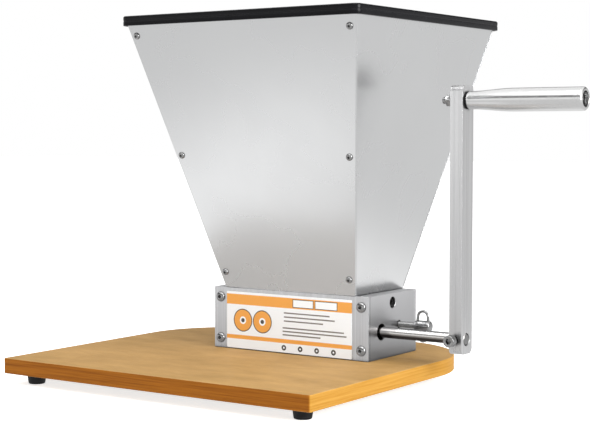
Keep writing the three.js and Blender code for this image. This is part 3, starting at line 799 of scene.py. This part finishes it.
def build_roller(node, journal):
    low, high = span(node)
    axis = middle(node)
    drum = size(node).y / 2
    at = Vector((MILL.x, axis.y, axis.z))
    left, right = low.x - MILL.x, high.x - MILL.x
    form = knurl(drum)
    end = 1.0
    rows = [
        (0, left),
        (journal - 0.5, left),
        (journal, left + 0.5),
        (journal, -DRUM_HALF - 0.4),
        (journal + 0.4, -DRUM_HALF),
        (drum - end - 0.3, -DRUM_HALF),
    ]
    for i in range(DRUM_STEPS + 1):
        distance = -DRUM_HALF + end + (2 * DRUM_HALF - 2 * end) * i / DRUM_STEPS
        rows.append((drum, distance, form))
    rows += [
        (drum - end - 0.3, DRUM_HALF),
        (journal + 0.4, DRUM_HALF),
        (journal, DRUM_HALF + 0.4),
        (journal, right - 0.5),
        (journal - 0.5, right),
        (0, right),
    ]
    piece(node, revolve(rows, at, RIGHT, DRUM_SEGMENTS))


def build_bush(side):
    node = "shaft_bush_" + side
    low, high = span(node)
    at = middle(node)
    at.x = low.x
    piece(node, ring(size(node).y / 2, BUSH_BORE, high.x - low.x, at, RIGHT))


ADJUSTER_BORE = {"radius": 4.35, "depth": 8.8}
SPANNER_HOLE = {"radius": 1.5, "depth": 3, "from_axis": 9.5}


def build_adjuster(side, sign, out):
    """An eccentric disc that carries the idler's end, with two holes for a spanner."""
    node = "gap_adjuster_" + side
    low, high = span(node)
    at = middle(node)
    inner = low.x if sign > 0 else high.x
    radius, length, edge = size(node).y / 2, high.x - low.x, 0.6
    at.x = inner
    disc = revolve([
        (0, 0), (radius - edge, 0), (radius, edge), (radius, length - edge),
        (radius - edge, length), (0, length),
    ], at, out, 96)
    idler = middle("idler_roller")
    holes = [rod(ADJUSTER_BORE["radius"], ADJUSTER_BORE["depth"] + OVER,
                 Vector((inner, idler.y, idler.z)) - out * OVER, out)]
    for turn in (BACK, FRONT):
        place = at + turn * SPANNER_HOLE["from_axis"] - out * OVER
        holes.append(rod(SPANNER_HOLE["radius"], SPANNER_HOLE["depth"] + OVER, place, out, 24))
    piece(node, combine("DIFFERENCE", disc, *holes), 0.25)


# Wing bolts and lock screws -------------------------------

WING_BOLT = {"radius": 3.0, "shank": 27, "pitch": 1.0, "thread": 0.32}
HUB = {"foot": 4.6, "radius": 5.2, "end": 2.2, "length": 16, "wings_at": 0.48}
WING = {"reach": 15, "bar": 1.35, "half_thickness": 1.4, "foot_spread": 5.9, "tip_spread": 5.15}


def wing(up, out, at):
    """An open wing: a bar bent into an arch over the hub."""
    reach, bar, half_thickness, foot, tip = WING.values()
    centre = WING_BOLT["shank"] + HUB["length"] * HUB["wings_at"]
    tip_height = reach - bar - tip
    path = [(-foot, 1.5), (-(foot + tip) / 2, tip_height / 2)]
    path += [(-tip * math.cos(turn), tip_height + tip * math.sin(turn))
             for turn in (math.pi * k / 16 for k in range(17))]
    path += [((foot + tip) / 2, tip_height / 2), (foot, 1.5)]
    across = out.cross(up)
    loops = []
    last = len(path) - 1
    for i, (x, h) in enumerate(path):
        before, after = path[max(i - 1, 0)], path[min(i + 1, last)]
        run = Vector((after[0] - before[0], after[1] - before[1])).normalized()
        sideways = out * run.y - up * run.x
        spine = at + out * (centre + x) + up * h
        loops.append([
            spine + sideways * bar * math.cos(a) + across * half_thickness * math.sin(a)
            for a in (TURN * k / 20 for k in range(20))
        ])
    ends = [[sum(loop, Vector()) / len(loop)] for loop in (loops[0], loops[-1])]
    return skin([ends[0], *loops, ends[1]])


def build_wing_bolt(side, sign, out):
    node = "wing_bolt_" + side
    low, high = span(node)
    at = middle(node)
    at.x = low.x if sign > 0 else high.x
    radius, shank = WING_BOLT["radius"], WING_BOLT["shank"]

    def thread(angle, distance):
        phase = (distance / WING_BOLT["pitch"] - angle / TURN) % 1
        return 1 - WING_BOLT["thread"] / radius * abs(2 * phase - 1)

    rows = [(0, 0), (radius - 0.6, 0)]
    steps_per_turn = 6
    turns = int((shank - 2) / WING_BOLT["pitch"])
    rows += [
        (radius, 0.6 + WING_BOLT["pitch"] * i / steps_per_turn, thread)
        for i in range(turns * steps_per_turn)
    ]
    length, end = HUB["length"], HUB["end"]
    rows += [
        (radius - 0.2, shank - 0.8),
        (HUB["foot"] - 0.4, shank),
        (HUB["foot"], shank + 0.5),
        (HUB["radius"], shank + length * 0.3),
        (HUB["radius"], shank + length * 0.72),
        *arc(HUB["radius"] - end, shank + length - end, end, 0, 80, 6),
        (0, shank + length),
    ]
    stem = revolve(rows, at, out, 40)
    wings = [wing(up, out, at) for up in (UP, DOWN)]
    piece(node, combine("UNION", stem, *wings))


LOCK_SOCKET = {"across_flats": 5, "depth": 5}


def build_lock_screw(side, sign, out):
    node = "hopper_lock_screw_" + side
    low, high = span(node)
    at = middle(node)
    at.x = high.x if sign > 0 else low.x
    radius, length = size(node).y / 2, high.x - low.x
    profile = [
        *shank_rows(radius, length, 0.8)[:-1],
        (radius, -0.6),
        (radius - 0.6, 0),
        *socket_rows(LOCK_SOCKET["across_flats"], 0, LOCK_SOCKET["depth"]),
    ]
    piece(node, revolve(profile, at, out, 48))


# Hopper ---------------------------------------------------

SHEET = 1.0
FLANGE = 13
BEND = 1.2
LAP_GAP = 0.2  # between a flange and the wall that laps over it
SIDE_BELOW_FRONT = 0.3  # how far the side walls' tops are below those of the front and back walls
TONGUE_HALF_WIDTH = 36
SIDE_TO_FRONT_SLANT = 51 / 80.5  # the side walls lean out less than the front and back walls
SHEET_EDGE = 0.22


def hopper_edges():
    """The heights of the walls' bottom and top, with half widths and half depths at each."""
    low, high = span("hopper_panel_front")
    bottom, top = low.z, high.z
    half_x_top = (high.x - low.x) / 2
    half_y_top = MILL.y - low.y
    slant = (high.y - low.y - SHEET) / (top - bottom)
    half_y_bottom = MILL.y - high.y + SHEET * math.hypot(1, slant)
    half_x_bottom = half_x_top - (half_y_top - half_y_bottom) * SIDE_TO_FRONT_SLANT
    return bottom, top, (half_x_bottom, half_x_top), (half_y_bottom, half_y_top)


BOTTOM, TOP, HALF_X, HALF_Y = hopper_edges()
FRONT_SLANT = (HALF_Y[1] - HALF_Y[0]) / (TOP - BOTTOM)
LEVEL_SHEET = SHEET * math.hypot(1, FRONT_SLANT)  # a leaning sheet's thickness, measured level


def at_height(pair, z):
    return pair[0] + (pair[1] - pair[0]) * (z - BOTTOM) / (TOP - BOTTOM)


def build_front_wall(end, sign):
    """A flat sheet that laps over the side walls' flanges."""
    corners = []
    for inset in (0, LEVEL_SHEET):
        for z, direction in ((BOTTOM, -1), (BOTTOM, 1), (TOP, 1), (TOP, -1)):
            x = MILL.x - sign * direction * at_height(HALF_X, z)
            corners.append((x, MILL.y + sign * (at_height(HALF_Y, z) - inset), z))
    outer, inner = (0, 1, 2, 3), (4, 5, 6, 7)
    faces = [list(outer), list(inner)[::-1]]
    faces += [[outer[j], outer[i], inner[i], inner[j]] for i, j in ((0, 1), (1, 2), (2, 3), (3, 0))]
    piece("hopper_panel_" + end, (corners, faces), SHEET_EDGE)


def flanged_section(z):
    """The side wall's level section: a web with a bent flange at each end, as (x, y) pairs."""
    half_x, half_y = at_height(HALF_X, z), at_height(HALF_Y, z) - LEVEL_SHEET - LAP_GAP

    def line(inset):
        radius = BEND - inset
        x, y = half_x - BEND, half_y - BEND
        turn = [k / 6 * QUARTER for k in range(7)]
        lower = [(x + radius * math.sin(a), -y - radius * math.cos(a)) for a in turn]
        upper = [(x + radius * math.cos(a), y + radius * math.sin(a)) for a in turn]
        tip = half_x - FLANGE
        return [(tip, -half_y + inset), *lower, *upper, (tip, half_y - inset)]

    return line(0) + line(SHEET)[::-1]


def build_side_wall(side, sign):
    """A wall with flanges, and a tongue that hangs from it into the mill body."""
    node = "hopper_panel_" + side
    loops = [
        [(MILL.x + sign * x, MILL.y + sign * y, z) for x, y in flanged_section(z)]
        for z in (BOTTOM, TOP - SIDE_BELOW_FRONT)
    ]
    points, faces = skin(loops)
    count = len(loops[0])
    faces += [list(range(count))[::-1], list(range(count, 2 * count))]
    low, high = span(node)
    inner = abs((low.x if sign > 0 else high.x) - MILL.x)
    foot_end = at_height(HALF_X, BOTTOM) - SHEET / 2
    drop = BOTTOM - low.z
    outline = [
        (inner, -drop), (inner + SHEET, -drop), (inner + SHEET, 0), (foot_end, 0),
        (foot_end, SHEET), (inner + 0.6, SHEET), (inner, SHEET - 0.6),
    ]
    start = Vector((MILL.x, MILL.y + sign * TONGUE_HALF_WIDTH, BOTTOM))
    tongue = prism(outline, 2 * TONGUE_HALF_WIDTH, start, RIGHT * sign, UP)
    piece(node, combine("UNION", (points, faces), tongue), SHEET_EDGE)


TRIM = {"corner": 7, "round": 1.7, "lip": 0.8, "inside": 3.5, "seam": 0.35}
TRIM_GROOVE = {"outer": 1.9, "inner": 7.0, "depth": 4.0}  # walls' insets from the trim's outside


def build_trim():
    """A channel of black plastic over the walls' top edges, lofted round its section."""
    low, high = span("rim_trim")
    half = (high - low) / 2
    centre = middle("rim_trim")
    corner, top, lip, inside, seam = TRIM.values()
    outer_wall, inner_wall, groove_depth = TRIM_GROOVE.values()
    width = half.x - (at_height(HALF_X, low.z) - inside)
    height = high.z - low.z
    inset_rows = [
        *arc(lip, lip, lip, 270, 180, 2),
        (0, height * 0.42),
        (seam, height * 0.47),
        (seam, height * 0.53),
        (0, height * 0.58),
        *arc(top, height - top, top, 180, 90, 6),
        *arc(width - top, height - top, top, 90, 0, 6),
        *arc(width - lip, lip, lip, 0, -90, 2),
        (inner_wall, 0),
        (inner_wall, groove_depth),
        (outer_wall, groove_depth),
        (outer_wall, 0),
    ]
    loops = []
    for inset, rise in inset_rows:
        radius = max(corner - inset, 0.8)
        x, y = half.x - inset, half.y - inset
        outline = rounded_rectangle(-x, -y, x, y, [radius] * 4, 10)
        loops.append([(centre.x + x, centre.y + y, low.z + rise) for x, y in outline])
    piece("rim_trim", skin(loops, closed=True))


HOPPER_SCREW = {"head": 3.2, "height": 2.1, "socket": 2.0, "shank": 1.6, "length": 5}
HOPPER_SCREW_BELOW = 3.27  # from the box's bottom to the middle of the leaning head's seat


def build_hopper_screw(end, level, side, sign):
    node = f"hopper_screw_{end}_{level}_{side}"
    z = span(node)[0].z + HOPPER_SCREW_BELOW
    seat = Vector((middle(node).x, MILL.y + sign * at_height(HALF_Y, z), z))
    out = Vector((0, sign, -FRONT_SLANT)).normalized()
    button_screw(node, seat, out, **HOPPER_SCREW)


# Crank ----------------------------------------------------

ARM_CORNER, ARM_EDGE = 5.0, 0.7
CLAMP_SCREW = {"head": 5.2, "height": 6.5, "socket": 5, "shank": 3}
GRIP_BOLT = {"head": 5.0, "height": 5.6, "socket": 5, "shank": 3}
GRIP_BOLT_RECESS = 0.2
GRIP = {"taper": 2.2, "taper_share": 0.40, "end": 2.2}
GRIP_BORE, COUNTERBORE = 3.6, {"radius": 6.8, "depth": 10}
GRIP_RINGS = (
    # node, bore radius, rounded edge
    ("grip_spacer", GRIP_BORE, 0.3),
    ("grip_washer", 3.3, 0.25),
)


def build_arm():
    low, high = span("crank_arm")
    outline = rounded_rectangle(low.y, low.z, high.y, high.z, [ARM_CORNER] * 4, 12)
    bar = prism(outline, high.x - low.x, (low.x, 0, 0), BACK, UP)
    shaft, bolt = middle("drive_roller"), middle("grip_bolt")
    clamp = middle("crank_clamp_screw")
    thick = high.x - low.x
    bore, bolt_bore, clamp_bore = (
        radius + 0.3 for radius in (SHAFT, GRIP_BOLT["shank"], CLAMP_SCREW["shank"]))
    near_end = (bore + HOLE_CHAMFER + OVER, -OVER), (bore, HOLE_CHAMFER)
    holes = [
        cutter(Vector((low.x, shaft.y, shaft.z)), RIGHT,
               *near_end, *chamfer(bore, HOLE_CHAMFER, thick)),
        cutter(Vector((low.x, bolt.y, bolt.z)), RIGHT,
               (bolt_bore, -OVER), (bolt_bore, thick + OVER)),
        cutter(Vector((clamp.x, shaft.y, clamp.z)), FRONT,
               (clamp_bore, 0), *chamfer(clamp_bore, 0.8, shaft.y - low.y)),
    ]
    piece("crank_arm", combine("DIFFERENCE", bar, *holes), ARM_EDGE)


def build_clamp_screw():
    node = "crank_clamp_screw"
    low, high = span(node)
    seat = middle(node)
    seat.y = low.y + CLAMP_SCREW["height"]
    cap_screw(node, seat, FRONT, length=high.y - seat.y, **CLAMP_SCREW)


def build_grip():
    """Narrow at the arm, full after two fifths of its length, with a counterbored round end."""
    node = "crank_grip"
    low, high = span(node)
    at = middle(node)
    at.x = low.x
    length, full = high.x - low.x, size(node).y / 2
    taper, taper_share, end = GRIP.values()
    neck = full - taper
    swell = []
    steps = 22
    for i in range(1, steps + 1):
        share = i / steps
        ease = share * share * (3 - 2 * share)
        swell.append((neck + (full - neck) * ease, 1 + (length * taper_share - 1) * share))
    well, depth = COUNTERBORE.values()
    profile = [
        (GRIP_BORE, 0),
        (neck - 0.7, 0),
        *arc(neck - 0.7, 0.7, 0.7, 290, 360, 4),
        *swell,
        *arc(full - end, length - end, end, 0, 80, 8),
        *arc(well + 0.4, length - 0.4, 0.4, 90, 180, 4),
        (well, length - depth),
        (GRIP_BORE, length - depth),
        (GRIP_BORE, 0),
    ]
    piece(node, revolve(profile, at, RIGHT, 96))


def build_grip_bolt():
    node = "grip_bolt"
    low, high = span(node)
    seat = middle(node)
    seat.x = high.x - GRIP_BOLT["height"] - GRIP_BOLT_RECESS
    cap_screw(node, seat, RIGHT, length=seat.x - low.x, **GRIP_BOLT)


def build_grip_rings():
    for node, bore, edge in GRIP_RINGS:
        low, high = span(node)
        at = middle(node)
        at.x = low.x
        piece(node, ring(size(node).y / 2, bore, high.x - low.x, at, RIGHT, edge))


def build_grip_nut():
    node = "grip_nut"
    low, high = span(node)
    at = middle(node)
    at.x = low.x
    corner = size(node).z / 2
    flat = corner * math.cos(TURN / 12)
    length, bore = high.x - low.x, 3.2
    cut = 0.6
    profile = [
        (bore, 0.5),
        (bore + 0.5, 0),
        (flat * 0.97, 0),
        (corner, cut, hexagon),
        (corner, length - cut, hexagon),
        (flat * 0.97, length),
        (bore + 0.5, length),
        (bore, length - 0.5),
        (bore, 0.5),
    ]
    piece(node, revolve(profile, at, RIGHT, 72))


# Build the mill -------------------------------------------

build_board()
for side, sign, out in SIDES:
    build_side_plate(side, sign, out)
    build_bush(side)
    build_adjuster(side, sign, out)
    build_wing_bolt(side, sign, out)
    build_lock_screw(side, sign, out)
    build_side_wall(side, sign)
    for end, *_ in ENDS:
        build_foot(f"{end}_{side}")
        build_base_bolt(f"{end}_{side}")
for end, sign, out in ENDS:
    build_cover_plate(end, sign, out)
    build_front_wall(end, sign)
    for level in ("lower", "middle", "upper"):
        for side, *_ in SIDES:
            build_hopper_screw(end, level, side, sign)
build_label()
build_roller("drive_roller", SHAFT)
build_roller("idler_roller", IDLER_JOURNAL)
build_trim()
build_arm()
build_clamp_screw()
build_grip()
build_grip_bolt()
build_grip_rings()
build_grip_nut()


# Floor, light and camera ----------------------------------

FLOOR_GLOW = 0.80  # how bright the floor is in reflections
FLOOR_SPOTS = ((-255, -310, 0.42), (215, 235, 0.28))  # painted pools of light, seen in reflections: place and added brightness
SPOT_FADE = (0.04, 0.32)  # metres from a spot's middle where it begins and ends fading
FLOOR_LIFT = 0.75  # extra white for the camera, so the floor meets the background unseen


def build_floor():
    """A white sweep. In reflections it is a little darker, with painted pools of light under the
    lamps.
    """
    look = Look("floor")
    rays = look.add("LightPath")
    cloud = look.noise(400, 2.0)
    tone = look.mix(look.spread(cloud), (0.84, 0.84, 0.84), (0.86, 0.86, 0.86))
    glow = FLOOR_GLOW
    # painted pools of light on the floor, seen only in reflections
    for x, y, strength in FLOOR_SPOTS:
        spot = (MILL + Vector((x, y, 0))) * MM
        away = look.add("VectorMath", {0: look.place, 1: spot}, operation="DISTANCE")
        rise = look.range(away.outputs["Value"], *SPOT_FADE, strength, 0, smooth=True)
        glow = look.math("ADD", glow, rise)
    painted_reflection = look.add("Emission", {"Color": (1, 1, 1), "Strength": glow}).outputs[0]
    lift = look.math("MULTIPLY", rays.outputs["Is Camera Ray"], FLOOR_LIFT)
    look.finish(Base_Color=tone, Roughness=0.9, Specular_IOR_Level=0.1,
                Emission_Color=(1, 1, 1), Emission_Strength=lift)
    mixed = look.add("MixShader", {0: rays.outputs["Is Glossy Ray"],
                                   1: look.shader.outputs[0], 2: painted_reflection})
    output = look.tree.nodes["Material Output"]
    look.tree.links.new(mixed.outputs[0], output.inputs["Surface"])
    reach = 9000
    corners = [(-reach, -reach, 0), (reach, -reach, 0), (reach, reach, 0), (-reach, reach, 0)]
    floor = bpy.data.objects.new("floor", mesh_of("floor", (corners, [[0, 1, 2, 3]])))
    floor.data.materials.append(look.material)
    bpy.context.scene.collection.objects.link(floor)


SKY = (
    # share of the way up from straight down to straight up, and brightness
    (0.0, 0.8), (0.49, 0.92), (0.58, 1.0), (0.65, 0.12), (0.75, 0.14), (0.80, 1.5), (1.0, 1.1),
)
SIDE_LIGHT = 0.30  # how much brighter the world is in front than behind


def build_world():
    """White to the camera. Everything else sees a studio: dark low down and bright above."""
    world = bpy.data.worlds.new("studio")
    bpy.context.scene.world = world
    world.use_nodes = True
    tree = world.node_tree

    def add(kind):
        return tree.nodes.new("ShaderNode" + kind)

    background = tree.nodes["Background"]
    place = add("TexCoord").outputs["Generated"]
    parts = add("SeparateXYZ")
    tree.links.new(place, parts.inputs[0])
    rise = add("MapRange")
    rise.inputs["From Min"].default_value = -1
    tree.links.new(parts.outputs["Z"], rise.inputs["Value"])
    ramp = add("ValToRGB")
    while len(ramp.color_ramp.elements) < len(SKY):
        ramp.color_ramp.elements.new(0.5)
    for element, (at, level) in zip(ramp.color_ramp.elements, SKY):
        element.position = at
        element.color = (level, level, level, 1)
    tree.links.new(rise.outputs[0], ramp.inputs[0])
    side = add("MapRange")
    side.inputs["From Min"].default_value = -1
    side.inputs["To Min"].default_value = 1 + SIDE_LIGHT
    side.inputs["To Max"].default_value = 1 - SIDE_LIGHT
    tree.links.new(parts.outputs["Y"], side.inputs["Value"])
    tinted = add("VectorMath")
    tinted.operation = "SCALE"
    tree.links.new(ramp.outputs[0], tinted.inputs[0])
    tree.links.new(side.outputs[0], tinted.inputs["Scale"])
    seen = add("Mix")
    seen.data_type = "RGBA"
    seen.inputs[7].default_value = (1, 1, 1, 1)
    tree.links.new(add("LightPath").outputs["Is Camera Ray"], seen.inputs[0])
    tree.links.new(tinted.outputs[0], seen.inputs[6])
    tree.links.new(seen.outputs[2], background.inputs["Color"])


LAMPS = (
    # name, place, aimed at, width, height, power
    ("key", (1700, -200, 650), (0, 0, 60), 900, 900, 32),
    ("top", (300, -800, 1800), (0, 0, 0), 1400, 1400, 14),
)


def build_lamps():
    for name, place, target, width, height, power in LAMPS:
        lamp = bpy.data.lights.new(name, "AREA")
        lamp.shape = "RECTANGLE"
        lamp.size, lamp.size_y = width * MM, height * MM
        lamp.energy = power
        obj = bpy.data.objects.new(name, lamp)
        obj.location = Vector(place) * MM
        aim = Vector(target) - Vector(place)
        obj.rotation_euler = aim.to_track_quat("-Z", "Y").to_euler()
        bpy.context.scene.collection.objects.link(obj)


VIEW = {"azimuth": 34.52, "elevation": 3.12, "distance": 1386.5, "lens": 89.87}
VIEW_POINT = Vector((-15.1, -10.4, 152.9))  # from the mill's middle, and above the floor


def build_camera():
    camera = bpy.data.cameras.new("camera")
    camera.lens = VIEW["lens"]
    camera.clip_end = 100
    azimuth, elevation = math.radians(VIEW["azimuth"]), math.radians(VIEW["elevation"])
    away = Vector((
        math.sin(azimuth) * math.cos(elevation),
        -math.cos(azimuth) * math.cos(elevation),
        math.sin(elevation),
    ))
    target = Vector((MILL.x, MILL.y, 0)) + VIEW_POINT
    obj = bpy.data.objects.new("camera", camera)
    obj.location = (target + away * VIEW["distance"]) * MM
    obj.rotation_euler = (-away).to_track_quat("-Z", "Y").to_euler()
    bpy.context.scene.collection.objects.link(obj)
    bpy.context.scene.camera = obj


build_floor()
build_world()
build_lamps()
build_camera()
bpy.context.scene.view_settings.view_transform = "Standard"
